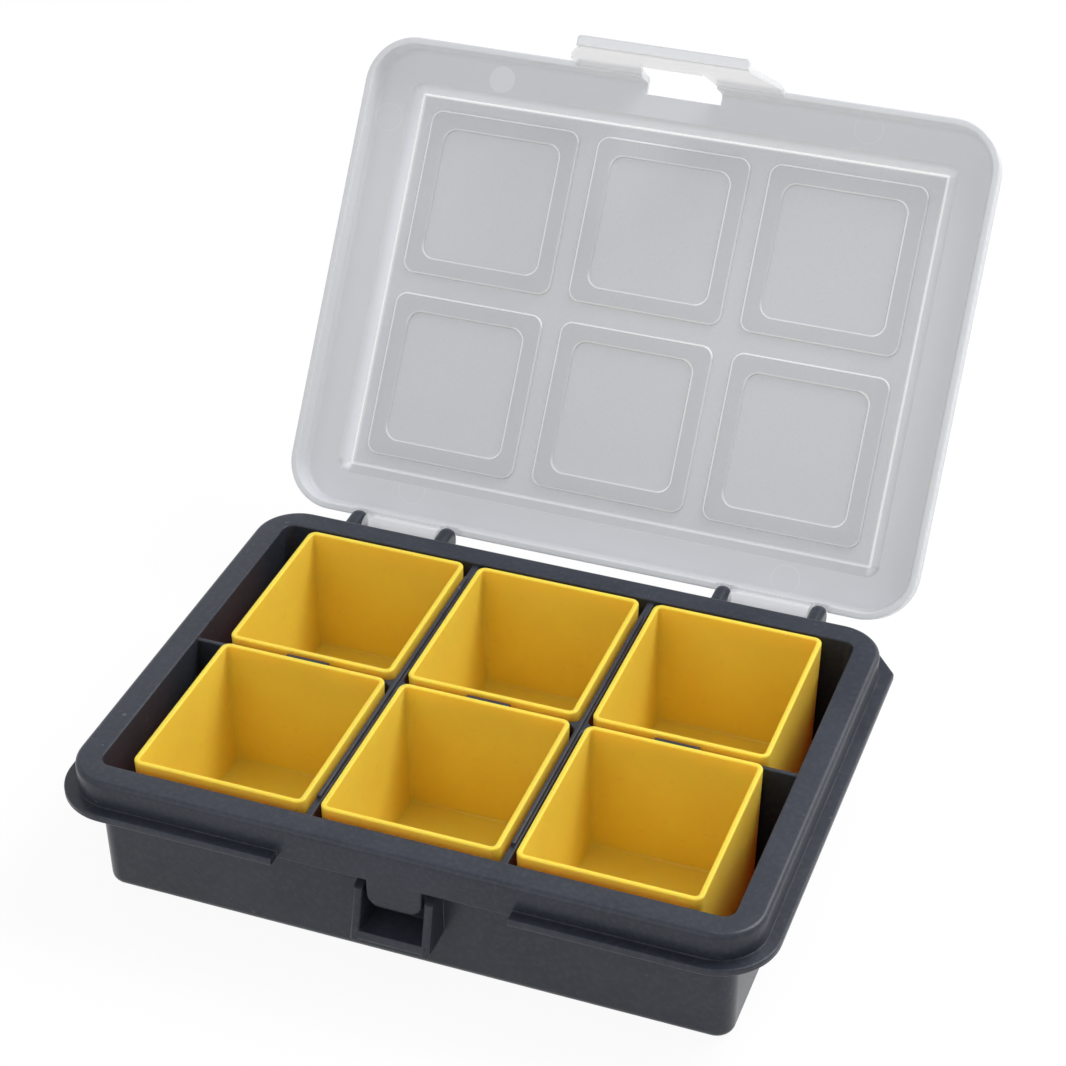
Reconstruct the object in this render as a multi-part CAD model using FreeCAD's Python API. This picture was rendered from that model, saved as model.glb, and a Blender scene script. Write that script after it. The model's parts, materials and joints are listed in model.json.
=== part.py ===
import FreeCAD, Part
import math
import os

from FreeCAD import Vector

# Assortment box with a hinged lid and six lift-out cups, in millimetres.
# X runs along the front, +Y to the hinge side and +Z up.
# The origin is the middle of the tray's underside, and the lid stands open on its stop.

# Cups: sizes outside at the rim, which stands proud of the tray's rim
cup_length = 52.8
cup_depth = 60.0
cup_proud = 1.0
cup_wall = 1.6
cup_floor = 1.4
cup_draft = 0.9
cup_corner = 2.8
cup_floor_round = 0.9
cup_floor_round_share = 0.8
cup_rim_round = 0.5

# Layout of the bays, left to right and front to back
column_names = ("left", "centre", "right")
row_names = ("front", "rear")
column_gap = 4.6
row_gap = 2.6
end_pocket = 9.2
row_clearance = 2.3

# Tray walls
tray_height = 44.5
tray_floor = 1.8
tray_wall = 1.8
tray_draft = 0.6
tray_corner = 3.6
tray_foot_round = 3.0
tray_floor_round = 2.0

# Hollow rim with its collar and flange
rim_width = 8.4
rim_thickness = 1.8
rim_round = 1.6
rim_inner_round = 0.5
collar_corner = 13.8
collar_wall = 1.8
flange_drop = 8.5
flange_reach = 3.9
flange_thickness = 2.2
flange_edge_round = 0.5
flange_corner_width = 9.5
flange_corner_depth = 11.9
flange_corner_round = 2.0

# Dividers
row_divider = 1.4
column_divider = 2.2
divider_drop = 1.2
ridge_width = 1.2
ridge_height = 1.4
ridge_setback = 8.0
divider_tab = 13.5
crossing_round = 3.0
divider_edge_round = 0.4

# Catch on the front wall
catch_drop = 21.0
catch_ledge = 3.0
catch_ledge_setback = 0.4
catch_ledge_round = 0.6
catch_rib = 2.6
catch_rib_spacing = 20.8
catch_rib_lean = 4.1
catch_rib_front_drop = 6.0
catch_rib_back_drop = 2.6
catch_rib_round = 0.9
catch_clearance = 0.3
tongue_side_clearance = 0.85
tongue_drop = 11.4
tongue_corner = 4.0
tongue_edge_round = 0.8

# Hinge
hinge_reach = 9.2
hinge_rise = 0.2
lug_end_setback = 24.7
lug_pair_pitch = 30.6
lug_width = 4.6
lug_radius = 5.0
lug_round = 2.0
lug_headroom = 1.2
barrel_radius = 4.4
barrel_end_play = 0.4
pin_radius = 1.5
pin_length = 2.8
pin_clearance = 0.05
pin_end_clearance = 0.4
web_height = 4.3
opening_degrees = 125.0

# Lid
lid_wall = 1.6
skirt_wall = 2.2
skirt_edge_round = 0.5
lid_corner = 16.0
lid_draft = 0.2
lid_top_round = 1.6
lid_inner_round = 1.6
lid_rest_gap = 0.3
skirt_end_gap = 0.7
skirt_side_gap = 3.7
plateau_rise = 2.6
plateau_run = 3.2
plateau_corner = 0.8
panel_end_margin = 4.0
panel_side_margin = 0.6

# Ring pads under the lid
pad_length_margin = 1.6
pad_depth_margin = 6.0
pad_row_shift = 2.1
pad_band = 5.8
pad_height = 0.8
pad_corner = 4.0
pad_edge_round = 0.3

# Latch tab, its finger lip, the window above it and the bead on the window's sill
tab_root = 68.0
tab_side_clearance = 0.6
tab_shoulder_drop = 9.0
tab_end_width = 55.0
tab_end_height = 4.0
tab_drop = 26.0
tab_thickness = 1.8
tab_lean_degrees = 4.5
lip_reach = 1.4
lip_thickness = 1.8
lip_corner = 1.0
window_side_clearance = 0.7
window_setback = 5.8
window_sill_drop = 12.0
window_sill_inset = 0.4
bead_reach = 0.5
bead_height = 2.0

# Cuts run past the solid by this much, and edges are picked within the second value
overrun = 2.0
near = 0.01

# Worked out from the sizes above
columns = len(column_names)
rows = len(row_names)
column_pitch = cup_length + column_gap
row_pitch = cup_depth + row_gap
bays_half_length = ((columns - 1) * column_pitch + cup_length) / 2
bays_half_depth = ((rows - 1) * row_pitch + cup_depth) / 2
inner_half_length = bays_half_length + end_pocket
inner_half_depth = bays_half_depth + row_clearance
wall_half_length = inner_half_length + tray_wall
wall_half_depth = inner_half_depth + tray_wall
collar_half_length = inner_half_length + rim_width
collar_half_depth = inner_half_depth + rim_width
cup_height = tray_height + cup_proud - tray_floor
flange_top = tray_height - flange_drop
collar_bottom = flange_top - flange_thickness
divider_top = tray_height - divider_drop
hinge_y = collar_half_depth + hinge_reach
hinge_height = flange_top + hinge_rise
lug_outer_place = collar_half_length - lug_end_setback
lug_inner_place = lug_outer_place - lug_pair_pitch
skirt_half_length = collar_half_length + skirt_end_gap
skirt_half_depth = collar_half_depth + skirt_side_gap
lid_half_length = skirt_half_length + skirt_wall
lid_half_depth = skirt_half_depth + skirt_wall
skirt_bottom = flange_top + lid_rest_gap
deck_inside = tray_height + lid_rest_gap
deck_top = deck_inside + lid_wall
panel_inside = deck_inside + plateau_rise
panel_half_length = bays_half_length + panel_end_margin
panel_half_depth = bays_half_depth + panel_side_margin
pad_length = cup_length - pad_length_margin
pad_depth = cup_depth - pad_depth_margin
pad_row_pitch = row_pitch - pad_row_shift
flange_gap = tab_root + 2 * tab_side_clearance
tab_inside = lid_half_depth - lid_wall
window_width = catch_rib_spacing + catch_rib + 2 * window_side_clearance
window_sill = skirt_bottom - window_sill_drop
window_sill_width = catch_rib_spacing - window_sill_inset
sill_lean = (window_sill_drop + lid_wall) * math.tan(math.radians(tab_lean_degrees))
catch_front = tab_inside + sill_lean - bead_reach - catch_clearance
catch_foot = flange_top - catch_drop
tongue_width = catch_rib_spacing - catch_rib - 2 * tongue_side_clearance
tongue_bottom = flange_top - tongue_drop


def outline(half_x, half_y, corner, z):
    """Closed rounded rectangle about the Z axis."""
    bow = corner * (1 - math.sqrt(0.5))
    edges = []
    for sx, sy in ((1, 1), (-1, 1), (-1, -1), (1, -1)):
        on_x = Vector(sx * half_x, sy * (half_y - corner), z)
        on_y = Vector(sx * (half_x - corner), sy * half_y, z)
        middle = Vector(sx * (half_x - bow), sy * (half_y - bow), z)
        first, last = (on_x, on_y) if sx == sy else (on_y, on_x)
        edges.append(Part.Arc(first, middle, last).toShape())
    sides = []
    for arc, after in zip(edges, edges[1:] + edges[:1]):
        sides += [arc, Part.makeLine(arc.Vertexes[-1].Point, after.Vertexes[0].Point)]
    return Part.Wire(sides)


def prism(half_x, half_y, corner, low, high):
    """Upright rounded block."""
    return Part.Face(outline(half_x, half_y, corner, low)).extrude(Vector(0, 0, high - low))


def taper(foot, head):
    """Rounded block between two outlines, each (half_x, half_y, corner, z)."""
    return Part.makeLoft([outline(*foot), outline(*head)], True, True)


def box(low, high):
    """Plain block between two corners."""
    size = Vector(*high) - Vector(*low)
    return Part.makeBox(size.x, size.y, size.z, Vector(*low))


def extruded(points, direction):
    """Straight-sided outline pushed along a direction."""
    wire = Part.makePolygon([Vector(*p) for p in points] + [Vector(*points[0])])
    return Part.Face(wire).extrude(Vector(*direction))


def level_edges(shape, z):
    """Edges that lie flat at one height."""
    return [e for e in shape.Edges if abs(e.BoundBox.ZMin - z) < near and abs(e.BoundBox.ZMax - z) < near]


def upright_edges(shape):
    """Edges that stand straight up."""
    return [e for e in shape.Edges if max(e.BoundBox.XLength, e.BoundBox.YLength) < near]


def within(edges, half_x, half_y):
    """Edges that lie inside a rectangle about the Z axis."""
    held = []
    for edge in edges:
        reach = edge.BoundBox
        far_x = max(abs(reach.XMin), abs(reach.XMax))
        far_y = max(abs(reach.YMin), abs(reach.YMax))
        if far_x < half_x and far_y < half_y:
            held.append(edge)
    return held


def column_place(column):
    """Middle of a column of cups, counted from the left."""
    return (column - (columns - 1) / 2) * column_pitch


def row_place(row, pitch):
    """Middle of a row, counted from the front, at a given pitch."""
    return (row - (rows - 1) / 2) * pitch


def cup():
    """One tapered cup, centred on the Z axis with its foot at zero."""
    half_x, half_y = cup_length / 2, cup_depth / 2
    body = taper(
        (half_x - cup_draft, half_y - cup_draft, cup_corner - cup_draft, 0),
        (half_x, half_y, cup_corner, cup_height))
    body = body.makeFillet(cup_rim_round, level_edges(body, 0))
    inset = cup_wall + cup_draft
    hollow = taper(
        (half_x - inset, half_y - inset, cup_corner - cup_wall, cup_floor),
        (half_x - cup_wall, half_y - cup_wall, cup_corner - cup_wall, cup_height))
    floor_round = min(cup_floor_round, cup_floor_round_share * (cup_corner - cup_wall))
    hollow = hollow.makeFillet(floor_round, level_edges(hollow, cup_floor))
    shell = body.cut(hollow)
    return shell.makeFillet(cup_rim_round, level_edges(shell, cup_height))


def tray_block():
    """Solid outside of the tapered box below the rim."""
    corner = tray_corner + tray_wall
    block = taper(
        (wall_half_length - tray_draft, wall_half_depth - tray_draft, corner, 0),
        (wall_half_length, wall_half_depth, corner, tray_height - rim_thickness))
    return block.makeFillet(tray_foot_round, level_edges(block, 0))


def tray_walls():
    """Tapered box with the hollow rim turned down round it."""
    rim = prism(collar_half_length, collar_half_depth, collar_corner, collar_bottom, tray_height)
    rim = rim.makeFillet(rim_round, level_edges(rim, tray_height))
    channel = prism(
        collar_half_length - collar_wall, collar_half_depth - collar_wall, collar_corner - collar_wall,
        collar_bottom - overrun, tray_height - rim_thickness)
    hollow = taper(
        (inner_half_length - tray_draft, inner_half_depth - tray_draft, tray_corner, tray_floor),
        (inner_half_length, inner_half_depth, tray_corner, tray_height))
    hollow = hollow.makeFillet(tray_floor_round, level_edges(hollow, tray_floor))
    walls = rim.cut(channel).fuse(tray_block()).cut(hollow)
    mouth = within(level_edges(walls, tray_height), inner_half_length + near, inner_half_depth + near)
    return walls.makeFillet(rim_inner_round, mouth)


def flange():
    """Ledge round the collar that carries the lid's skirt, open at the latch, its back corners cut off."""
    reach_x, reach_y = collar_half_length + flange_reach, collar_half_depth + flange_reach
    ring = prism(reach_x, reach_y, collar_corner + flange_reach, collar_bottom, flange_top)
    ledge = ring.fuse(box((-reach_x, 0, collar_bottom), (reach_x, reach_y, flange_top))).removeSplitter()
    side_x, tip_y = reach_x - flange_corner_width, reach_y - flange_corner_depth
    for side in (-1, 1):
        corner = [(side * side_x, reach_y), (side * reach_x, tip_y), (side * reach_x, reach_y)]
        points = [(x, y, collar_bottom) for x, y in corner]
        ledge = ledge.cut(extruded(points, (0, 0, flange_thickness)))
    tips = [
        e for e in upright_edges(ledge)
        if e.CenterOfMass.y > 0
        and min(abs(e.CenterOfMass.y - tip_y), abs(abs(e.CenterOfMass.x) - side_x)) < near]
    ledge = ledge.makeFillet(flange_corner_round, tips)
    rims = level_edges(ledge, flange_top) + level_edges(ledge, collar_bottom)
    ledge = ledge.makeFillet(flange_edge_round, rims)
    sunk = collar_wall / 2
    inside = prism(
        collar_half_length - sunk, collar_half_depth - sunk, collar_corner - sunk,
        collar_bottom - overrun, flange_top + overrun)
    latch_gap = box(
        (-flange_gap / 2, -reach_y - overrun, collar_bottom - overrun),
        (flange_gap / 2, -collar_half_depth, flange_top + overrun))
    return ledge.cut(inside).cut(latch_gap)


def ridge(low, high):
    """Narrow block with its top edges eased."""
    body = box(low, high)
    return body.makeFillet(divider_edge_round, level_edges(body, high[2]))


def dividers():
    """Walls between the rows and the columns, webbed where they cross and ridged on top."""
    sunk = tray_wall / 2
    end_x, end_y = inner_half_length + sunk, inner_half_depth + sunk
    foot = tray_floor / 2
    ridge_top = divider_top + ridge_height
    ridge_end = inner_half_depth - ridge_setback
    half_row, half_column, half_ridge = row_divider / 2, column_divider / 2, ridge_width / 2
    cross = box((-end_x, -half_row, foot), (end_x, half_row, divider_top))
    ridges = []
    for column in range(columns - 1):
        x = (column_place(column) + column_place(column + 1)) / 2
        cross = cross.fuse(box((x - half_column, -end_y, foot), (x + half_column, end_y, divider_top)))
        ridges.append(ridge((x - half_ridge, -ridge_end, foot), (x + half_ridge, ridge_end, ridge_top)))
    for column in range(columns):
        low, high = column_place(column) - divider_tab / 2, column_place(column) + divider_tab / 2
        ridges.append(ridge((low, -half_row, foot), (high, half_row, ridge_top)))
    crossings = [
        e for e in upright_edges(cross)
        if abs(abs(e.CenterOfMass.y) - half_row) < near and abs(e.CenterOfMass.x) < inner_half_length]
    cross = cross.makeFillet(crossing_round, crossings)
    cross = cross.makeFillet(divider_edge_round, level_edges(cross, divider_top))
    room = prism(end_x, end_y, tray_corner + sunk, tray_foot_round, tray_height + overrun)
    return cross.fuse(ridges).common(tray_block().fuse(room))


def catch():
    """Two leaning ribs joined by a ledge on the front wall, and the tongue that hangs behind them."""
    wall_y = -(wall_half_depth - tray_draft - tray_wall / 2)
    top_y = -(catch_front - catch_rib_lean)
    profile = [
        (wall_y, catch_foot), (-catch_front, catch_foot), (top_y, flange_top - catch_rib_front_drop),
        (wall_y, flange_top - catch_rib_back_drop)]
    half = catch_rib_spacing / 2
    pieces = []
    for side in (-1, 1):
        start = side * half - catch_rib / 2
        rib = extruded([(start, y, z) for y, z in profile], (catch_rib, 0, 0))
        front = [e for e in rib.Edges if e.BoundBox.YMax < top_y + near and e.BoundBox.ZLength > near]
        pieces.append(rib.makeFillet(catch_rib_round, front))
    ledge_y = -(catch_front - catch_ledge_setback)
    ledge = box((-half, ledge_y, catch_foot), (half, wall_y, catch_foot + catch_ledge))
    front = [e for e in ledge.Edges if e.BoundBox.YMax < ledge_y + near and e.BoundBox.ZLength < near]
    pieces.append(ledge.makeFillet(catch_ledge_round, front))
    face_y = -collar_half_depth
    tongue = box(
        (-tongue_width / 2, face_y, tongue_bottom),
        (tongue_width / 2, face_y + collar_wall, flange_top))
    corners = [e for e in level_edges(tongue, tongue_bottom) if e.BoundBox.XLength < near]
    tongue = tongue.makeFillet(tongue_corner, corners)
    front = [
        e for e in tongue.Edges
        if e.BoundBox.YMax < face_y + near and e.BoundBox.ZMin < flange_top - near]
    pieces.append(tongue.makeFillet(tongue_edge_round, front))
    return pieces


def lug(x):
    """One hinge lug with a domed back, before its bores."""
    root_y = collar_half_depth - collar_wall / 2
    low, high = hinge_height - lug_radius, hinge_height + lug_radius
    start = x - lug_width / 2
    dome = Part.Arc(
        Vector(start, hinge_y, low), Vector(start, hinge_y + lug_radius, hinge_height),
        Vector(start, hinge_y, high)).toShape()
    corners = [(hinge_y, high), (root_y, high), (root_y, low), (hinge_y, low)]
    runs = [
        Part.makeLine(Vector(start, *a), Vector(start, *b)) for a, b in zip(corners, corners[1:])]
    body = Part.Face(Part.Wire([dome] + runs)).extrude(Vector(lug_width, 0, 0))
    rounds = [e for e in body.Edges if e.BoundBox.XLength < near and e.BoundBox.YLength > near]
    return body.makeFillet(lug_round, rounds)


def lug_places():
    """Centres of the four lugs along X."""
    return [-lug_outer_place, -lug_inner_place, lug_inner_place, lug_outer_place]


def barrel_spans():
    """Low and high X of the two lid barrels, each between its pair of lugs."""
    spans = []
    inset = lug_width / 2 + barrel_end_play
    places = lug_places()
    for first, second in (places[:2], places[2:]):
        spans.append((first + inset, second - inset))
    return spans


def rod(radius, low, high):
    """Cylinder on the hinge axis."""
    return Part.makeCylinder(radius, high - low, Vector(low, hinge_y, hinge_height), Vector(1, 0, 0))


def base_tray():
    """The whole tray, with its bores for the lid's stub pins cut last."""
    additions = [flange(), dividers()] + catch() + [lug(x) for x in lug_places()]
    tray = tray_walls().fuse(additions).removeSplitter()
    reach = barrel_end_play + pin_length + pin_end_clearance
    bore = pin_radius + pin_clearance
    for low, high in barrel_spans():
        tray = tray.cut(rod(bore, low - reach, low)).cut(rod(bore, high, high + reach))
    return tray


def lid_shell():
    """Skirt, deck and raised panel of the closed lid."""
    outer = taper(
        (lid_half_length, lid_half_depth, lid_corner, skirt_bottom),
        (lid_half_length - lid_draft, lid_half_depth - lid_draft, lid_corner - lid_draft, deck_top))
    outer = outer.makeFillet(lid_top_round, level_edges(outer, deck_top))
    corner = lid_corner - skirt_wall
    inner = taper(
        (skirt_half_length, skirt_half_depth, corner, skirt_bottom),
        (skirt_half_length - lid_draft, skirt_half_depth - lid_draft, corner - lid_draft, deck_inside))
    inner = inner.makeFillet(lid_inner_round, level_edges(inner, deck_inside))
    foot_x, foot_y = panel_half_length + plateau_run, panel_half_depth + plateau_run
    foot_corner = plateau_corner + plateau_run
    plateau = taper(
        (foot_x + lid_wall, foot_y + lid_wall, foot_corner + lid_wall, deck_inside),
        (panel_half_length, panel_half_depth, plateau_corner, panel_inside + lid_wall))
    recess = taper(
        (foot_x, foot_y, foot_corner, deck_inside),
        (panel_half_length, panel_half_depth, plateau_corner, panel_inside))
    shell = outer.fuse(plateau).cut(inner).cut(recess)
    return shell.makeFillet(skirt_edge_round, level_edges(shell, skirt_bottom))


def ring_pads():
    """A frosted ring over each cup, standing down from the panel."""
    low, high = panel_inside - pad_height, panel_inside + lid_wall / 2
    half_x, half_y = pad_length / 2, pad_depth / 2
    ring = prism(half_x, half_y, pad_corner, low, high)
    hole = prism(half_x - pad_band, half_y - pad_band, pad_corner, low - overrun, panel_inside)
    pad = ring.cut(hole)
    pad = pad.makeFillet(pad_edge_round, level_edges(pad, low))
    pads = []
    for column in range(columns):
        for row in range(rows):
            pads.append(pad.translated(Vector(column_place(column), row_place(row, pad_row_pitch), 0)))
    return pads


def leaned(shape):
    """Piece of the latch tab, turned out from the skirt about the tab's root."""
    root = Vector(0, -tab_inside, skirt_bottom + lid_wall)
    return shape.rotated(root, Vector(-1, 0, 0), tab_lean_degrees)


def latch_tab():
    """Springy tab that hangs from the front of the skirt, with its finger lip."""
    face_y = -tab_inside
    root_z = skirt_bottom + lid_wall
    shoulder_z = skirt_bottom - tab_shoulder_drop
    end_z = skirt_bottom - tab_drop
    neck_z = end_z + tab_end_height
    root, end = tab_root / 2, tab_end_width / 2
    half = [(root, root_z), (root, shoulder_z), (end, neck_z), (end, end_z)]
    points = [(x, face_y, z) for x, z in half] + [(-x, face_y, z) for x, z in reversed(half)]
    plate = extruded(points, (0, -tab_thickness, 0))
    lip = box(
        (-end, face_y - tab_thickness - lip_reach, end_z),
        (end, face_y, end_z + lip_thickness))
    tips = [e for e in upright_edges(lip) if e.CenterOfMass.y < face_y - tab_thickness]
    return [leaned(plate), leaned(lip.makeFillet(lip_corner, tips))]


def sill_bead():
    """Small wedge along the inside of the window's sill."""
    face_y = -tab_inside
    start = -window_sill_width / 2
    profile = [
        (face_y - tab_thickness / 2, window_sill), (face_y + bead_reach, window_sill),
        (face_y + bead_reach, window_sill - bead_height / 2), (face_y, window_sill - bead_height),
        (face_y - tab_thickness / 2, window_sill - bead_height)]
    return leaned(extruded([(start, y, z) for y, z in profile], (window_sill_width, 0, 0)))


def lid_cuts():
    """Window over the sill, and a slot in the back skirt for each lug."""
    front_y = -(lid_half_depth + overrun)
    side = [
        (window_sill_width / 2, window_sill), (window_width / 2, skirt_bottom),
        (window_width / 2, deck_top + overrun)]
    points = [(x, front_y, z) for x, z in side] + [(-x, front_y, z) for x, z in reversed(side)]
    cuts = [extruded(points, (0, overrun + window_setback, 0))]
    half = lug_width / 2 + barrel_end_play
    slot_top = hinge_height + lug_radius + lug_headroom
    for x in lug_places():
        cuts.append(box(
            (x - half, skirt_half_depth - overrun, skirt_bottom - overrun),
            (x + half, lid_half_depth + overrun, slot_top)))
    return cuts


def hinge_barrels():
    """Two barrels on webs behind the skirt, with a stub pin at each end."""
    pieces = []
    pin_reach = barrel_end_play + pin_length
    profile = [
        (skirt_half_depth, skirt_bottom), (skirt_half_depth, skirt_bottom + web_height),
        (hinge_y, hinge_height + barrel_radius), (hinge_y, hinge_height)]
    for low, high in barrel_spans():
        pieces.append(rod(barrel_radius, low, high))
        pieces.append(extruded([(low, y, z) for y, z in profile], (high - low, 0, 0)))
        pieces.append(rod(pin_radius, low - pin_reach, high + pin_reach))
    return pieces


def lid():
    """The lid, built closed and then swung open to its stop."""
    shell = lid_shell().fuse(ring_pads() + latch_tab())
    for cut in lid_cuts():
        shell = shell.cut(cut)
    shell = shell.fuse([sill_bead()] + hinge_barrels()).removeSplitter()
    shell.rotate(Vector(0, hinge_y, hinge_height), Vector(-1, 0, 0), opening_degrees)
    return shell


def single(shape):
    """The one solid of a finished piece."""
    if len(shape.Solids) != 1 or not shape.isValid():
        raise ValueError("piece is not one sound solid: %d" % len(shape.Solids))
    return shape.Solids[0]


def main():
    os.makedirs("parts", exist_ok=True)
    pieces = {"base_tray": base_tray(), "lid": lid()}
    moulding = cup()
    for row, row_name in enumerate(row_names):
        for column, column_name in enumerate(column_names):
            place = Vector(column_place(column), row_place(row, row_pitch), tray_floor)
            pieces["cup_%s_%s" % (row_name, column_name)] = moulding.translated(place)
    for name, shape in pieces.items():
        solid = single(shape)
        solid.exportStep("parts/%s.step" % name)
        size = solid.BoundBox
        sides = [round(length, 1) for length in (size.XLength, size.YLength, size.ZLength)]
        print(name, round(solid.Volume), "mm3", sides)


main()
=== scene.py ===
import json
import math
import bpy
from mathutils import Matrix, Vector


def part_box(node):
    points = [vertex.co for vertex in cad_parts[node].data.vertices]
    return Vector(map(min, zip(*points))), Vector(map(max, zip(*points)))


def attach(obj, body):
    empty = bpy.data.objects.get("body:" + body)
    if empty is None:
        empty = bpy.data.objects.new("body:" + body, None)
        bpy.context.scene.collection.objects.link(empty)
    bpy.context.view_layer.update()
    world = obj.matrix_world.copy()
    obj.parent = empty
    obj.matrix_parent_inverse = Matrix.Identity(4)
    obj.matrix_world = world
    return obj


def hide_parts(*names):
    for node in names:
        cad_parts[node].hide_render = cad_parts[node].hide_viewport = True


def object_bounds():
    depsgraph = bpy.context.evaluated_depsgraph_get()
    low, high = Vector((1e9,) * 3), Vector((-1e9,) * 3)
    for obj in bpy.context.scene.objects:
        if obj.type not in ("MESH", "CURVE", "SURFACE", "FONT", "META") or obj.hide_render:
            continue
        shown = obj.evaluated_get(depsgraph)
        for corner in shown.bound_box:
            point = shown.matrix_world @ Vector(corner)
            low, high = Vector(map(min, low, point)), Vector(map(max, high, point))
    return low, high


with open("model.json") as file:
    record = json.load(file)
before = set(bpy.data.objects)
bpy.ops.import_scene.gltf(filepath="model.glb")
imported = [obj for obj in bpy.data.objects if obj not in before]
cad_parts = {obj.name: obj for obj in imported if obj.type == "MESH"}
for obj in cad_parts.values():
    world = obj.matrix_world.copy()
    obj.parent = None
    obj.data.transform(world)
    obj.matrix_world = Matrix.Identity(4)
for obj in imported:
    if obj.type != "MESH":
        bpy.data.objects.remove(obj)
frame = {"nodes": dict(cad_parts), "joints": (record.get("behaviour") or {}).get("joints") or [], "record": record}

from types import SimpleNamespace

import bpy
from bpy.props import FloatProperty, FloatVectorProperty, PointerProperty
from mathutils import Matrix, Vector

bl_info = {
    "name": "Assortment Box",
    "version": (1, 0, 0),
    "blender": (4, 5, 0),
    "location": "View3D > Sidebar > Assortment Box",
    "description": "Finishes a hinged assortment box with lift-out cups and sets it on a pale stage",
    "category": "Object",
}

# The solids' box, their joints and the places that the finishes line up with
CAD_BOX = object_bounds()
RECORD = frame["record"]
HINGE = next(joint for joint in frame["joints"] if joint["name"] == "lid_hinge")
HINGE_PLACE = Vector(HINGE["pos_m"])
HINGE_AXIS = Vector(HINGE["axis"])
OPENING = math.radians(HINGE["range_deg"][1] - HINGE["range_deg"][0])
CUP_NODES = sorted(node for node in frame["nodes"] if node.startswith("cup_"))
BODY_OF = {node: body for body, nodes in RECORD["behaviour"]["bodies"].items() for node in nodes}


def middle(node):
    """Middle of a node's box."""
    low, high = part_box(node)
    return (low + high) / 2


CUP_PITCH = middle("cup_front_right").x - middle("cup_front_centre").x
OUTER_COLUMN = 1.0
MILLIMETRE = 0.001
SENSOR_WIDTH = 36.0

# Rays that see the white background, and the sockets of a Mix node that blends colours
SEEN_RAYS = ("Is Camera Ray", "Is Glossy Ray", "Is Transmission Ray")
WHITE = (1.0, 1.0, 1.0, 1.0)
MIX_SHARE, MIX_FIRST, MIX_SECOND, MIX_RESULT = 0, 6, 7, 2

# Where in a cloud's span from 0 to 1 a mark starts to show, and where it shows in full
HAZE_SPAN = (0.3, 0.7)
MOTTLE_SPAN = (0.4, 0.75)
RUB_AND_HIGHLIGHT_SPAN = (0.35, 0.7)
SCUFF_SPAN = (0.82, 0.85)
SCUFFED_PATCH_SPAN = (0.45, 0.6)
FLOW_SPAN = (0.25, 0.75)
SPECK_SPAN = (0.76, 0.8)
MILK_SPAN = (0.2, 0.8)
FROST_SPAN = (0.5, 0.75)
CLOUD_MIDDLE = 0.5

# Turn of the eased normal that counts as a full edge, and how finely the easing is sampled
EDGE_TURN = 0.12
EDGE_SAMPLES = 4

# Ejector marks under the lid's deck, across and towards the latch in millimetres
DISC_PLACE = (-61.0, 69.7)
CIRCLE_PLACES = ((-97.0, 52.0), (60.6, 71.8), (62.8, -70.6), (-63.9, -66.4))

# How strongly each side shows its painted light, set by how light falls on that side: the painted highlight lines
# round the rings and the panel, the painted highlight on the slope, and the painted shade on the hinge-side slope;
# left, right, latch side, hinge side
OUTER_HIGHLIGHT_SIDES = (1.0, 0.4, 0.95, 0.6)
INNER_HIGHLIGHT_SIDES = (0.0, 1.0, 0.45, 0.55)
PANEL_HIGHLIGHT_SIDES = (1.0, 0.7, 1.0, 0.4)
SLOPE_HIGHLIGHT_SIDES = (0.7, 0.5, 0.8, 0.0)
HINGE_SLOPE_SHADE_SIDES = (0.0, 0.0, 0.0, 0.9)

# Shares of a line's half width, of the slope's run and of a corner radius, at which the tones fade
LINE_SHIFT_SHARE = 0.8
LINE_CORE_SHARE = 0.5
RING_FADE_SHARE = 3.0
SLOPE_CORE_SHARE = 0.3
HINGE_SLOPE_SHADE_SHARES = (1.1, 0.9)
CORNER_SHARES = (1.6, 0.4)


def tint(name, description, default):
    """A colour property."""
    return FloatVectorProperty(
        name=name, description=description, default=default, subtype="COLOR", size=3, min=0.0, max=1.0)


def share(name, description, default):
    """A property from nothing to whole."""
    return FloatProperty(
        name=name, description=description, default=default, subtype="FACTOR", min=0.0, max=1.0)


def length(name, description, millimetres):
    """A length property, given in millimetres."""
    return FloatProperty(
        name=name, description=description, default=millimetres * MILLIMETRE, unit="LENGTH", min=0.0)


def metres(name, description, default):
    """A length property of the stage, given in metres."""
    return FloatProperty(name=name, description=description, default=default, unit="LENGTH", min=0.0)


def watts(name, description, default):
    """A lamp's power."""
    return FloatProperty(name=name, description=description, default=default, unit="POWER", min=0.0)


def angle(name, description, degrees):
    """An angle property, given in degrees."""
    return FloatProperty(
        name=name, description=description, default=math.radians(degrees), subtype="ANGLE")


def spot(name, description, default):
    """A place on the stage, in metres."""
    return FloatVectorProperty(name=name, description=description, default=default, subtype="XYZ")


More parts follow.
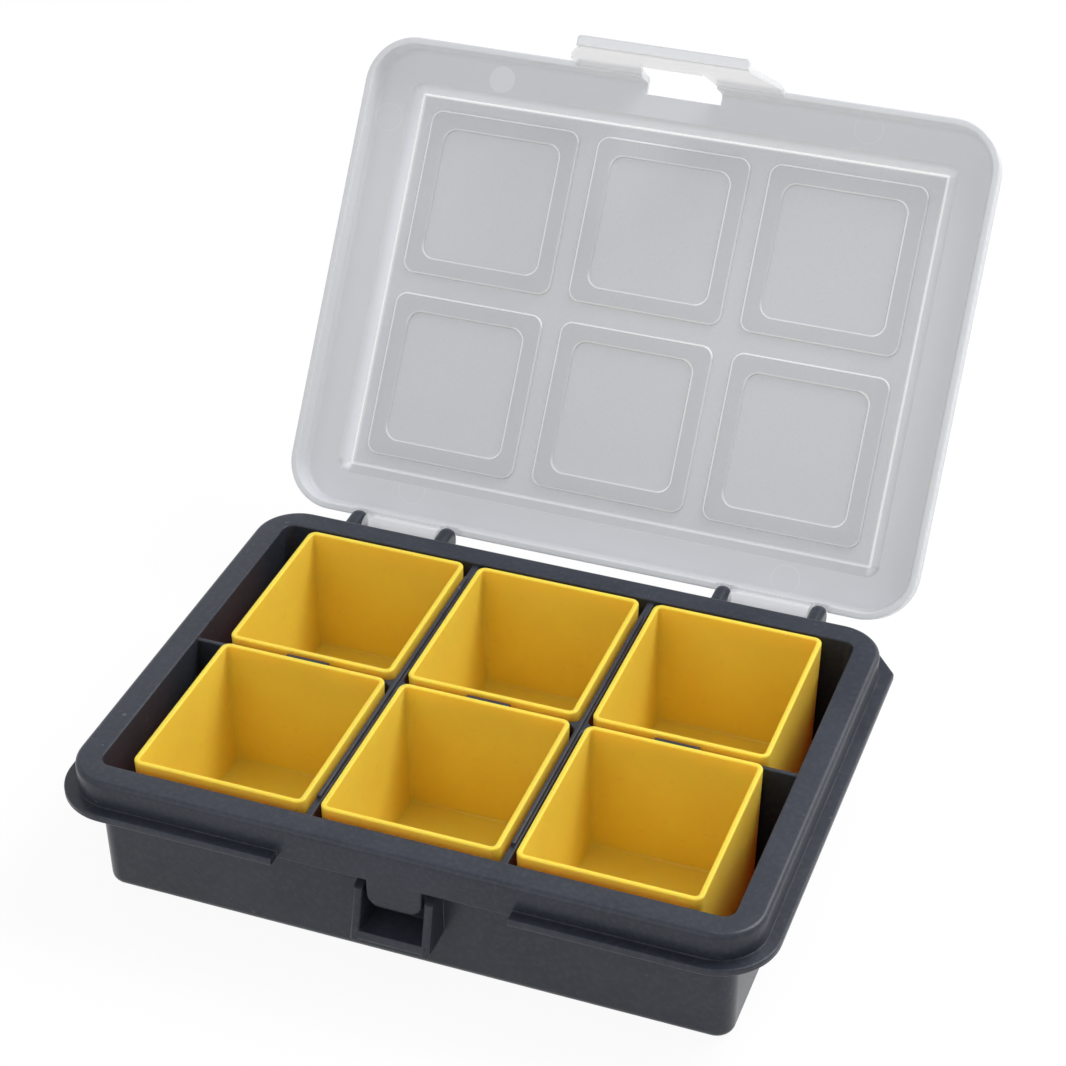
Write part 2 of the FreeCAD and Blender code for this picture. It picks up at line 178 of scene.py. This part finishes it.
class TrayLook(bpy.types.PropertyGroup):
    """Finish of the charcoal tray"""
    dark: tint("Dark", "Darker tone of the tray", (0.021, 0.0255, 0.037))
    light: tint("Light", "Lighter tone of the tray", (0.027, 0.032, 0.045))
    haze_size: length("Haze Size", "Size of the soft clouds in the tone", 22.0)
    haze_sway: share("Haze Sway", "How far the soft clouds change the roughness", 0.1)
    mottled: tint("Mottled", "Tone of the fine mottling in the plastic", (0.05, 0.055, 0.068))
    mottle_share: share("Mottle Share", "How strongly the mottling shows", 0.45)
    mottle_size: length("Mottle Size", "Size of the mottling", 1.6)
    # Rubbed tone: partly real rubbing and scuffs, partly a painted highlight along the edges.
    rubbed: tint("Rubbed", "Tone of rubbed edges and scuffs", (0.13, 0.136, 0.15))
    rub_and_highlight_share: share("Rub Share", "How far rubbed edges lighten", 0.6)
    rub_and_highlight_size: length("Rub Size", "Size of rubbed stretches", 9.0)
    scuff_share: share("Scuff Share", "How strongly the scuffs show", 0.5)
    scuff_size: length("Scuff Size", "Spacing of the small pale scuffs", 2.4)
    roughness: share("Roughness", "Roughness of the satin skin", 0.32)
    gloss: share("Gloss", "Strength of the satin skin's reflections", 0.28)
    grain_size: length("Grain Size", "Size of the moulded grain", 0.35)
    grain_depth: length("Grain Depth", "Depth of the moulded grain", 0.02)
    grain_strength: share("Grain Strength", "How strongly the grain tilts the skin", 0.5)
    grain_sway: share("Grain Sway", "How far the grain changes the roughness", 0.12)
    edge_ease: length("Edge Ease", "Radius over which edges catch the light", 0.5)


class CupLook(bpy.types.PropertyGroup):
    """Finish of the yellow cups"""
    deep: tint("Deep", "Deeper tone of the cups", (0.84, 0.585, 0.068))
    bright: tint("Bright", "Brighter tone of the cups", (0.89, 0.63, 0.076))
    flow_size: length("Flow Size", "Size of the flow clouds", 26.0)
    flow_sway: share("Flow Sway", "How far the flow clouds change the roughness", 0.08)
    # Painted highlight: the cups' edges are painted a brighter yellow where light catches them.
    rim: tint("Rim", "Tone of edges, where the plastic gathers light", (1.0, 0.76, 0.06))
    rim_highlight_share: share("Rim Share", "How far the edges lighten", 0.7)
    speck: tint("Speck", "Tone of the mould specks", (0.5, 0.24, 0.02))
    speck_share: share("Speck Share", "How strongly the specks show", 0.07)
    speck_size: length("Speck Size", "Spacing of the mould specks", 2.6)
    roughness: share("Roughness", "Roughness of the glossy skin", 0.38)
    gloss: share("Gloss", "Strength of the skin's reflections", 0.28)
    glow: share("Glow", "How far light passes through the thin walls", 0.8)
    glow_depth: length("Glow Depth", "Distance that light spreads inside the plastic", 4.0)
    glow_reach: tint("Glow Reach", "How far each colour of light spreads inside", (1.0, 0.6, 0.12))
    peel_size: length("Peel Size", "Size of the orange-peel skin", 3.0)
    peel_depth: length("Peel Depth", "Depth of the orange-peel skin", 0.02)
    peel_strength: share("Peel Strength", "How strongly the orange peel tilts the skin", 0.4)
    edge_ease: length("Edge Ease", "Radius over which edges catch the light", 0.4)


class LidLook(bpy.types.PropertyGroup):
    """Finish of the milky lid"""
    deep: tint("Deep", "Darker tone of the milky plastic", (0.55, 0.568, 0.612))
    bright: tint("Bright", "Lighter tone of the milky plastic", (0.59, 0.608, 0.652))
    haze_size: length("Haze Size", "Size of the milky clouds", 30.0)
    haze_sway: share("Haze Sway", "How far the milky clouds change the roughness", 0.06)
    window: tint("Window", "Tone of the clear middle of each ring", (0.555, 0.578, 0.632))
    window_share: share("Window Share", "How far the clear middles differ", 0.7)
    frosted: tint("Frosted", "Tone of the frosted rings", (0.52, 0.537, 0.577))
    ring_share: share("Ring Share", "How far the rings take the frosted tone", 0.6)
    frost_share: share("Frost Share", "How far the fine grain takes the frosted tone", 0.6)
    frost_size: length("Frost Size", "Grain of the frosted rings", 0.6)
    frost_depth: length("Frost Depth", "Depth of the frosted grain", 0.03)
    frost_strength: share("Frost Strength", "How strongly the frosted grain tilts the skin", 0.5)
    deck: tint("Deck", "Tone of the flat border round the panel", (0.61, 0.628, 0.668))
    deck_share: share("Deck Share", "How far the border takes its own tone", 0.8)
    # Painted highlight: the slope round the panel is painted paler, more on some sides than on others.
    slope: tint("Slope", "Tone of the slope round the panel", (0.74, 0.78, 0.85))
    # Painted shade: the hinge-side slope is painted darker, as it faces the light.
    hinge_slope_shade: tint("Upward", "Tone of the slope on the hinge side, which faces the light", (0.4, 0.415, 0.44))
    # Painted highlight: this pale tone is painted on the lid's edges, lines, skirt and latch tab where light
    # catches them; the ejector marks take it too as their own pale tone.
    edge: tint("Edge", "Tone of edges and lines, where the plastic gathers light", (0.95, 0.96, 0.98))
    edge_highlight_share: share("Edge Paleness", "How far the edges take the pale tone", 0.7)
    skirt_highlight_share: share("Skirt Paleness", "How far the skirt takes the pale tone", 0.25)
    tab_highlight_share: share("Tab Paleness", "How far the latch tab takes the pale tone", 0.6)
    mark_share: share("Mark Share", "How strongly the ejector marks show", 0.3)
    circle_share: share("Circle Share", "How strongly a mark's bare outline shows beside a full mark", 0.5)
    opacity: share("Opacity", "How milky one skin of the plastic is", 0.6)
    ring_milk: share("Ring Milk", "How much milkier the rings are", 0.04)
    line_milk: share("Line Milk", "How much milkier the rings' lines are", 0.3)
    skirt_milk: share("Skirt Milk", "How much milkier the skirt is", 0.05)
    panel_line_clear: share("Panel Line Clear", "How much clearer the line round the panel is", 0.42)
    slope_clear: share("Slope Clear", "How much clearer the slope is", 0.15)
    tab_clear: share("Tab Clear", "How much clearer the latch tab is", 0.28)
    roughness: share("Roughness", "Roughness of the plain skin", 0.34)
    ring_roughness: share("Ring Roughness", "How much rougher the rings are", 0.18)
    ring_length: length("Ring Length", "Frosted ring from side to side", 51.2)
    ring_depth: length("Ring Depth", "Frosted ring from back to front", 54.0)
    ring_band: length("Ring Band", "Width of the frosted band", 5.8)
    ring_corner: length("Ring Corner", "Corner radius of the rings", 4.0)
    ring_row_pitch: length("Ring Row Pitch", "From one row of rings to the other", 60.5)
    # The pale lines round each ring and round the panel are painted highlights.
    ring_line: length("Ring Line", "Half width of the pale line round each ring", 0.34)
    panel_highlight_line: length("Panel Line", "Half width of the white line round the panel", 0.65)
    mark_size: length("Mark Size", "Diameter of the ejector marks", 9.0)
    panel_length: length("Panel Length", "Raised panel from side to side", 175.6)
    panel_depth: length("Panel Depth", "Raised panel from back to front", 123.8)
    panel_corner: length("Panel Corner", "Corner radius of the raised panel", 0.8)
    slope_run: length("Slope Run", "Width of the slope round the panel", 3.2)
    tab_top: length("Tab Top", "Height above the table where the latch tab leaves the skirt", 36.3)
    lip_height: length("Lip Height", "Top of the latch tab's lip above the table", 12.4)
    deck_height: length("Deck Height", "Underside of the deck above the table", 44.8)
    edge_ease: length("Edge Ease", "Radius over which edges catch the light", 0.4)


class StageLook(bpy.types.PropertyGroup):
    """Floor, light and camera"""
    floor: tint("Floor", "Tone of the floor", (0.97, 0.97, 0.97))
    floor_lift: share("Floor Lift", "How far the floor shows plain white", 0.93)
    floor_size: metres("Floor Size", "Side of the floor", 8.0)
    sky: share("Sky", "Strength of the light from all round", 0.5)
    key_power: watts("Key Power", "Power of the key lamp", 14.5)
    key_size: metres("Key Size", "Side of the key lamp", 0.7)
    key_place: spot("Key Place", "Where the key lamp hangs", (0.55, 0.55, 1.1))
    fill_power: watts("Fill Power", "Power of the fill lamp", 3.0)
    fill_size: metres("Fill Size", "Side of the fill lamp", 1.0)
    fill_place: spot("Fill Place", "Where the fill lamp hangs", (-0.3, -1.1, 0.75))
    rim_power: watts("Rim Power", "Power of the rim lamp", 1.0)
    rim_size: metres("Rim Size", "Side of the rim lamp", 0.4)
    rim_place: spot("Rim Place", "Where the rim lamp hangs", (0.5, 0.85, 0.55))
    eye: spot("Eye", "Where the camera stands", (0.22066, -0.5548, 0.51245))
    azimuth: angle("Azimuth", "Camera's turn to the right of the front", 20.42)
    elevation: angle("Elevation", "Camera's tilt down", 34.42)
    roll: angle("Roll", "Camera's roll", -0.22)
    lens: FloatProperty(name="Lens", description="Focal length in millimetres", default=88.23, min=1.0)


class BoxLook(bpy.types.PropertyGroup):
    """Everything a user would change on the box"""
    tray: PointerProperty(type=TrayLook, name="Tray", description="Finish of the tray")
    cups: PointerProperty(type=CupLook, name="Cups", description="Finish of the cups")
    lid: PointerProperty(type=LidLook, name="Lid", description="Finish of the lid")
    stage: PointerProperty(type=StageLook, name="Stage", description="Floor, light and camera")
    merge: length("Merge", "Points this close become one", 0.001)
    smooth_angle: angle("Smooth Angle", "Edges flatter than this look smooth", 32.0)


class Wire:
    """A socket in a node tree, on which sums and products add Math nodes."""

    def __init__(self, graph, socket):
        self.graph = graph
        self.socket = socket

    def math(self, operation, *others):
        values = [self, *others]
        return self.graph.node("ShaderNodeMath", {"operation": operation}, dict(enumerate(values)))

    def turned(self, operation, other):
        """The operation with this socket second."""
        return self.graph.node("ShaderNodeMath", {"operation": operation}, {0: other, 1: self})

    def __add__(self, other):
        return self.math("ADD", other)

    __radd__ = __add__

    def __sub__(self, other):
        return self.math("SUBTRACT", other)

    def __rsub__(self, other):
        return self.turned("SUBTRACT", other)

    def __mul__(self, other):
        return self.math("MULTIPLY", other)

    __rmul__ = __mul__

    def __truediv__(self, other):
        return self.math("DIVIDE", other)

    def __rtruediv__(self, other):
        return self.turned("DIVIDE", other)

    def __neg__(self):
        return self.turned("SUBTRACT", 0.0)

    def __abs__(self):
        return self.math("ABSOLUTE")

    def above(self, floor):
        return self.math("MAXIMUM", floor)

    def below(self, ceiling):
        return self.math("MINIMUM", ceiling)

    def step(self, start, end):
        """Smooth change from 0 at start to 1 at end."""
        inputs = {"Value": self, "From Min": start, "From Max": end}
        return self.graph.node("ShaderNodeMapRange", {"interpolation_type": "SMOOTHSTEP"}, inputs)


class Graph:
    """The nodes of one material or world."""

    def __init__(self, owner):
        owner.use_nodes = True
        self.tree = owner.node_tree
        self.tree.nodes.clear()

    def node(self, kind, settings=None, inputs=None, output=0):
        """A new node with its settings made first, then its inputs; gives one output."""
        made = self.tree.nodes.new(kind)
        for name, value in (settings or {}).items():
            setattr(made, name, value)
        for key, value in (inputs or {}).items():
            if isinstance(value, Wire):
                self.tree.links.new(value.socket, made.inputs[key])
            else:
                made.inputs[key].default_value = value
        return Wire(self, made.outputs[output]) if made.outputs else made

    def place(self):
        """Where a point of the piece lies, in metres."""
        return self.node("ShaderNodeTexCoord", output="Object")

    def parts(self, vector):
        """The three numbers of a vector."""
        split = self.node("ShaderNodeSeparateXYZ", inputs={"Vector": vector})
        return [Wire(self, out) for out in split.socket.node.outputs]

    def cloud(self, place, size, detail=2.0, roughness=0.5):
        """Soft noise with features of about the given size in metres, from 0 to 1."""
        inputs = {"Vector": place, "Scale": 1 / size, "Detail": detail, "Roughness": roughness}
        return self.node("ShaderNodeTexNoise", inputs=inputs, output="Fac")

    def mix(self, weight, first, second):
        """Blend of two colours."""
        inputs = {MIX_SHARE: weight, MIX_FIRST: first, MIX_SECOND: second}
        return self.node("ShaderNodeMix", {"data_type": "RGBA"}, inputs, output=MIX_RESULT)

    def soft_edges(self, radius):
        """Surface normal with the sharp edges eased over a radius."""
        return self.node("ShaderNodeBevel", {"samples": EDGE_SAMPLES}, {"Radius": radius})

    def edge_share(self, eased):
        """How far a point lies on an edge, from the turn between the eased and the true normal."""
        true = self.node("ShaderNodeNewGeometry", output="True Normal")
        inputs = {0: eased, 1: true}
        along = self.node("ShaderNodeVectorMath", {"operation": "DOT_PRODUCT"}, inputs, output="Value")
        return (1 - along).step(0.0, EDGE_TURN)

    def bump(self, height, depth, strength, normal):
        """Normal tilted by a height map of the given depth in metres."""
        inputs = {"Height": height, "Distance": depth, "Strength": strength, "Normal": normal}
        return self.node("ShaderNodeBump", inputs=inputs)

    def finish(self, shader, kind="ShaderNodeOutputMaterial"):
        """Output that shows the shader."""
        self.node(kind, inputs={"Surface": shader})

    def plastic(self, inputs):
        """Plastic with these inputs, as the whole material."""
        self.finish(self.node("ShaderNodeBsdfPrincipled", inputs=inputs))


def colour(value):
    """A colour property as the four numbers of a socket."""
    return (*value, 1.0)


def charcoal_plastic(look):
    """Satin charcoal polypropylene with mottling, a moulded grain, small scuffs, and edges lightened partly by
    rubbing and partly as a painted highlight.
    """
    material = bpy.data.materials.new("charcoal_plastic")
    graph = Graph(material)
    place = graph.place()
    eased = graph.soft_edges(look.edge_ease)
    haze = graph.cloud(place, look.haze_size)
    grain = graph.cloud(place, look.grain_size, detail=1.0)
    mottle = graph.cloud(place, look.mottle_size, detail=3.0, roughness=0.6).step(*MOTTLE_SPAN)
    # Edges lightened partly as rubbing, partly as a painted highlight.
    rub_and_edge_highlight = graph.edge_share(eased) * graph.cloud(place, look.rub_and_highlight_size).step(*RUB_AND_HIGHLIGHT_SPAN)
    speckle = graph.cloud(place, look.scuff_size, detail=0.0).step(*SCUFF_SPAN)
    scuff = speckle * haze.step(*SCUFFED_PATCH_SPAN)
    wear_and_highlight = (rub_and_edge_highlight * look.rub_and_highlight_share).above(scuff * look.scuff_share)
    smooth = graph.mix(haze.step(*HAZE_SPAN), colour(look.dark), colour(look.light))
    body = graph.mix(mottle * look.mottle_share, smooth, colour(look.mottled))
    sway = (haze - CLOUD_MIDDLE) * look.haze_sway + (grain - CLOUD_MIDDLE) * look.grain_sway
    graph.plastic({
        "Base Color": graph.mix(wear_and_highlight, body, colour(look.rubbed)),
        "Roughness": look.roughness + sway,
        "Normal": graph.bump(grain, look.grain_depth, look.grain_strength, eased),
        "Specular IOR Level": look.gloss,
    })
    return material


def yellow_plastic(look):
    """Glossy yellow plastic with faint flow clouds, mould specks, an orange-peel skin and a painted highlight on
    its edges.
    """
    material = bpy.data.materials.new("yellow_plastic")
    graph = Graph(material)
    place = graph.place()
    eased = graph.soft_edges(look.edge_ease)
    flow = graph.cloud(place, look.flow_size)
    peel = graph.cloud(place, look.peel_size, detail=1.0)
    speck = graph.cloud(place, look.speck_size, detail=0.0).step(*SPECK_SPAN)
    body = graph.mix(flow.step(*FLOW_SPAN), colour(look.deep), colour(look.bright))
    marked = graph.mix(speck * look.speck_share, body, colour(look.speck))
    graph.plastic({
        # Painted highlight: brighter yellow on the edges.
        "Base Color": graph.mix(graph.edge_share(eased) * look.rim_highlight_share, marked, colour(look.rim)),
        "Roughness": look.roughness + (flow - CLOUD_MIDDLE) * look.flow_sway,
        "Normal": graph.bump(peel, look.peel_depth, look.peel_strength, eased),
        "Specular IOR Level": look.gloss,
        "Subsurface Weight": look.glow,
        "Subsurface Radius": look.glow_reach,
        "Subsurface Scale": look.glow_depth,
    })
    return material


def rounded_gap(across, along, half_across, half_along, corner):
    """Distance of a point from a rounded rectangle, below zero inside it."""
    over_x = abs(across) - (half_across - corner)
    over_y = abs(along) - (half_along - corner)
    far_x, far_y = over_x.above(0.0), over_y.above(0.0)
    outside = (far_x * far_x + far_y * far_y).math("SQRT")
    return outside + over_x.above(over_y).below(0.0) - corner


def side_weight(across, along, half_across, half_along, corner, weights):
    """Strength of a line round a rounded rectangle, from the weights of its four sides."""
    places = (-across, across, along, -along)
    reaches = (half_across, half_across, half_along, half_along)
    start, end = CORNER_SHARES
    total = 0.0
    for place, reach, weight in zip(places, reaches, weights):
        total = (place.step(reach - corner * start, reach - corner * end) * weight).above(total)
    return total


def painted_highlight_line(gap, half_width, weight):
    """Soft painted highlight line of the given half width where the gap is zero."""
    return abs(gap).step(half_width, half_width * LINE_CORE_SHARE) * weight


def lid_places(graph):
    """Across, towards-the-latch and up places of a point of the lid, as if it were closed."""
    settings = {"vector_type": "TEXTURE"}
    turn = HINGE_AXIS.x * OPENING
    inputs = {"Vector": graph.place(), "Location": HINGE_PLACE, "Rotation": (turn, 0.0, 0.0)}
    across, back, up = graph.parts(graph.node("ShaderNodeMapping", settings, inputs))
    return across, -(back + HINGE_PLACE.y), up + HINGE_PLACE.z


def mark_gap(across, along, place, look):
    """Distance of a point from the outline of the ejector mark at a place."""
    off_x, off_y = across - place[0] * MILLIMETRE, along - place[1] * MILLIMETRE
    return (off_x * off_x + off_y * off_y).math("SQRT") - look.mark_size / 2


def ejector_marks(across, along, look):
    """Faint round marks that the ejector pins left on the deck: one full disc, and bare circles."""
    total = (-mark_gap(across, along, DISC_PLACE, look)).step(0.0, look.ring_line)
    for place in CIRCLE_PLACES:
        circle = abs(mark_gap(across, along, place, look)).step(look.ring_line, 0.0)
        total = total + circle * look.circle_share
    return total.below(1.0)


def lid_zones(graph, look):
    """The lid's zones and lines, each from 0 off it to 1 on it."""
    across, along, up = lid_places(graph)
    line, run = look.ring_line, look.slope_run
    column = (across / CUP_PITCH).math("ROUND").above(-OUTER_COLUMN).below(OUTER_COLUMN)
    in_column = across - column * CUP_PITCH
    in_row = along - along.math("SIGN") * (look.ring_row_pitch / 2)
    half_x, half_y, band = look.ring_length / 2, look.ring_depth / 2, look.ring_band
    outer_box = (in_column, in_row, half_x, half_y, look.ring_corner)
    inner_box = (in_column, in_row, half_x - band, half_y - band, look.ring_corner)
    panel_box = (across, along, look.panel_length / 2, look.panel_depth / 2, look.panel_corner)
    outer, inner, panel = rounded_gap(*outer_box), rounded_gap(*inner_box), rounded_gap(*panel_box)
    shift = line * LINE_SHIFT_SHARE
    # The pale lines round each ring are painted highlights, each side as strong as light makes it.
    outer_line = painted_highlight_line(outer + shift, line, side_weight(*outer_box, OUTER_HIGHLIGHT_SIDES))
    inner_line = painted_highlight_line(inner - shift, line, side_weight(*inner_box, INNER_HIGHLIGHT_SIDES))
    off_panel = panel.step(0.0, line)
    # Painted highlight on the slope round the panel, and painted shade on its hinge side.
    bank = off_panel * panel.step(run, run * SLOPE_CORE_SHARE)
    whole_bank = off_panel * panel.step(run * HINGE_SLOPE_SHADE_SHARES[0], run * HINGE_SLOPE_SHADE_SHARES[1])
    return SimpleNamespace(
        ring=(-outer).step(0.0, line) * inner.step(0.0, line * RING_FADE_SHARE),
        window=(-inner).step(0.0, line),
        deck=panel.step(0.0, run),
        slope=bank * side_weight(*panel_box, SLOPE_HIGHLIGHT_SIDES),
        hinge_slope_shade=whole_bank * side_weight(*panel_box, HINGE_SLOPE_SHADE_SIDES),
        skirt=(look.deck_height - up).step(0.0, run),
        tab=(look.tab_top - up).step(0.0, run) * up.step(look.lip_height - line, look.lip_height),
        marks=ejector_marks(across, along, look),
        ring_highlight_lines=(outer_line + inner_line).below(1.0),
        panel_highlight_line=painted_highlight_line(panel + line, look.panel_highlight_line, side_weight(*panel_box, PANEL_HIGHLIGHT_SIDES)))


def milky_plastic(look):
    """Milky see-through polypropylene with a frosted ring over each cup, painted highlights on its edges, lines,
    slope, skirt and latch tab, and painted shade on the hinge-side slope.
    """
    material = bpy.data.materials.new("milky_plastic")
    graph = Graph(material)
    place = graph.place()
    eased = graph.soft_edges(look.edge_ease)
    haze = graph.cloud(place, look.haze_size)
    frost = graph.cloud(place, look.frost_size, detail=1.0)
    zone = lid_zones(graph, look)
    frosting = zone.ring * look.ring_share + frost.step(*FROST_SPAN) * (1 - zone.deck) * look.frost_share
    # Painted highlight on the deck's edges.
    edges = graph.edge_share(eased) * zone.deck * look.edge_highlight_share
    # Layers over the milky tone: the clear middles, frosted rings, deck and ejector marks are the lid's own; the
    # hinge-side slope is painted shade, and the slope, skirt, latch tab, edges and lines are painted highlights.
    layers = (
        (zone.window * look.window_share, look.window),
        (frosting, look.frosted),
        (zone.deck * look.deck_share, look.deck),
        (zone.marks * look.mark_share, look.edge),
        (zone.hinge_slope_shade, look.hinge_slope_shade),
        (zone.slope, look.slope),
        ((zone.skirt * look.skirt_highlight_share).above(zone.tab * look.tab_highlight_share), look.edge),
        ((edges + zone.ring_highlight_lines + zone.panel_highlight_line).below(1.0), look.edge),
    )
    tone = graph.mix(haze.step(*MILK_SPAN), colour(look.deep), colour(look.bright))
    for weight, paint in layers:
        tone = graph.mix(weight, tone, colour(paint))
    skirt_milk = zone.skirt * (1 - zone.tab) * look.skirt_milk
    # The painted highlight lines, slope and latch tab also change the opacity: the ring lines milkier, the panel's
    # line, the slope and the tab clearer.
    milk = zone.ring * look.ring_milk + zone.ring_highlight_lines * look.line_milk + skirt_milk
    slope_clear, tab_clear = zone.slope * look.slope_clear, zone.tab * look.tab_clear
    clear = zone.panel_highlight_line * look.panel_line_clear + slope_clear + tab_clear
    sway = (haze - CLOUD_MIDDLE) * look.haze_sway
    graph.plastic({
        "Base Color": tone,
        "Roughness": look.roughness + zone.ring * look.ring_roughness + sway,
        "Alpha": look.opacity + milk - clear,
        "Normal": graph.bump(frost * zone.ring, look.frost_depth, look.frost_strength, eased),
    })
    return material


def moulded_copy(node, material):
    """Copy of a solid with its loose triangles merged and its rounds smooth, in place of the node."""
    look = bpy.context.scene.assortment_box
    piece = bpy.data.objects.new(node + "_moulding", frame["nodes"][node].data.copy())
    bpy.context.scene.collection.objects.link(piece)
    bpy.ops.object.select_all(action="DESELECT")
    piece.select_set(True)
    bpy.context.view_layer.objects.active = piece
    if piece.data.has_custom_normals:
        bpy.ops.mesh.customdata_custom_splitnormals_clear()
    bpy.ops.object.mode_set(mode="EDIT")
    bpy.ops.mesh.select_all(action="SELECT")
    bpy.ops.mesh.remove_doubles(threshold=look.merge)
    bpy.ops.object.mode_set(mode="OBJECT")
    bpy.ops.object.shade_smooth_by_angle(angle=look.smooth_angle)
    piece.data.materials.clear()
    piece.data.materials.append(material)
    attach(piece, BODY_OF[node])
    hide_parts(node)


def seen_share(graph):
    """1 for a ray that shows the background, and 0 for one that only lights the object."""
    path = graph.node("ShaderNodeLightPath").socket.node
    total = 0.0
    for ray in SEEN_RAYS:
        total = Wire(graph, path.outputs[ray]) + total
    return total.below(1.0)


def floor_paint(look):
    """Pale floor that shows white and keeps the box's shadow."""
    material = bpy.data.materials.new("pale_floor")
    graph = Graph(material)
    matt = graph.node("ShaderNodeBsdfDiffuse", inputs={"Color": colour(look.floor)})
    glow = graph.node("ShaderNodeEmission", inputs={"Color": WHITE, "Strength": 1.0})
    inputs = {0: seen_share(graph) * look.floor_lift, 1: matt, 2: glow}
    graph.finish(graph.node("ShaderNodeMixShader", inputs=inputs))
    return material


def lay_floor(look):
    """A wide pale floor under the box."""
    bpy.ops.object.select_all(action="DESELECT")
    bpy.ops.mesh.primitive_plane_add(size=look.floor_size, location=(0.0, 0.0, CAD_BOX[0].z))
    floor = bpy.context.view_layer.objects.active
    floor.name = "floor"
    floor.data.materials.append(floor_paint(look))


def light_sky(scene, look):
    """Even light from all round, with a white background behind it."""
    world = bpy.data.worlds.new("studio")
    scene.world = world
    graph = Graph(world)
    seen = seen_share(graph)
    inputs = {"Color": WHITE, "Strength": seen + (1 - seen) * look.sky}
    graph.finish(graph.node("ShaderNodeBackground", inputs=inputs), "ShaderNodeOutputWorld")


def hang_lamp(name, place, size, power):
    """A square soft lamp that points at the box's middle."""
    aim = (CAD_BOX[0] + CAD_BOX[1]) / 2 - Vector(place)
    turn = aim.to_track_quat("-Z", "Y").to_euler()
    bpy.ops.object.light_add(type="AREA", location=place, rotation=turn)
    lamp = bpy.context.view_layer.objects.active
    lamp.name = name
    lamp.data.size = size
    lamp.data.energy = power


def stand_camera(scene, look):
    """Camera at the photo's angle, without shift or depth of field."""
    flat = Vector((math.cos(look.azimuth), math.sin(look.azimuth), 0.0))
    ahead = Vector((
        -math.sin(look.azimuth) * math.cos(look.elevation),
        math.cos(look.azimuth) * math.cos(look.elevation),
        -math.sin(look.elevation)))
    over = flat.cross(ahead)
    right = flat * math.cos(look.roll) + over * math.sin(look.roll)
    up = right.cross(ahead)
    turn = Matrix((right, up, -ahead)).transposed().to_euler()
    bpy.ops.object.camera_add(location=look.eye, rotation=turn)
    camera = bpy.context.view_layer.objects.active
    camera.data.sensor_width = SENSOR_WIDTH
    camera.data.lens = look.lens
    camera.data.dof.use_dof = False
    scene.camera = camera


class FinishTray(bpy.types.Operator):
    """Give the tray its satin charcoal finish"""
    bl_idname = "assortment_box.finish_tray"
    bl_label = "Finish Tray"

    def execute(self, context):
        moulded_copy("base_tray", charcoal_plastic(context.scene.assortment_box.tray))
        return {"FINISHED"}


class FinishCups(bpy.types.Operator):
    """Give the six cups their yellow finish"""
    bl_idname = "assortment_box.finish_cups"
    bl_label = "Finish Cups"

    def execute(self, context):
        material = yellow_plastic(context.scene.assortment_box.cups)
        for node in CUP_NODES:
            moulded_copy(node, material)
        return {"FINISHED"}


class FinishLid(bpy.types.Operator):
    """Give the lid its milky finish"""
    bl_idname = "assortment_box.finish_lid"
    bl_label = "Finish Lid"

    def execute(self, context):
        moulded_copy("lid", milky_plastic(context.scene.assortment_box.lid))
        return {"FINISHED"}


class SetStage(bpy.types.Operator):
    """Lay the floor, hang the lamps and stand the camera"""
    bl_idname = "assortment_box.set_stage"
    bl_label = "Set Stage"

    def execute(self, context):
        look = context.scene.assortment_box.stage
        lay_floor(look)
        light_sky(context.scene, look)
        hang_lamp("key_lamp", look.key_place, look.key_size, look.key_power)
        hang_lamp("fill_lamp", look.fill_place, look.fill_size, look.fill_power)
        hang_lamp("rim_lamp", look.rim_place, look.rim_size, look.rim_power)
        stand_camera(context.scene, look)
        context.scene.view_settings.view_transform = "Standard"
        return {"FINISHED"}


STEPS = (FinishTray, FinishCups, FinishLid, SetStage)


class BoxPanel(bpy.types.Panel):
    """Steps and settings of the assortment box"""
    bl_idname = "VIEW3D_PT_assortment_box"
    bl_label = "Assortment Box"
    bl_space_type = "VIEW_3D"
    bl_region_type = "UI"
    bl_category = "Assortment Box"

    def draw(self, context):
        for step in STEPS:
            self.layout.operator(step.bl_idname)
        look = context.scene.assortment_box
        for group in (look.tray, look.cups, look.lid, look.stage):
            column = self.layout.column(align=True)
            for name in group.__annotations__:
                column.prop(group, name)


CLASSES = (TrayLook, CupLook, LidLook, StageLook, BoxLook, *STEPS, BoxPanel)


def register():
    for entry in CLASSES:
        bpy.utils.register_class(entry)
    bpy.types.Scene.assortment_box = PointerProperty(type=BoxLook)


def unregister():
    del bpy.types.Scene.assortment_box
    for entry in reversed(CLASSES):
        bpy.utils.unregister_class(entry)


def main():
    register()
    bpy.ops.assortment_box.finish_tray()
    bpy.ops.assortment_box.finish_cups()
    bpy.ops.assortment_box.finish_lid()
    bpy.ops.assortment_box.set_stage()


if __name__ == "__main__":
    main()
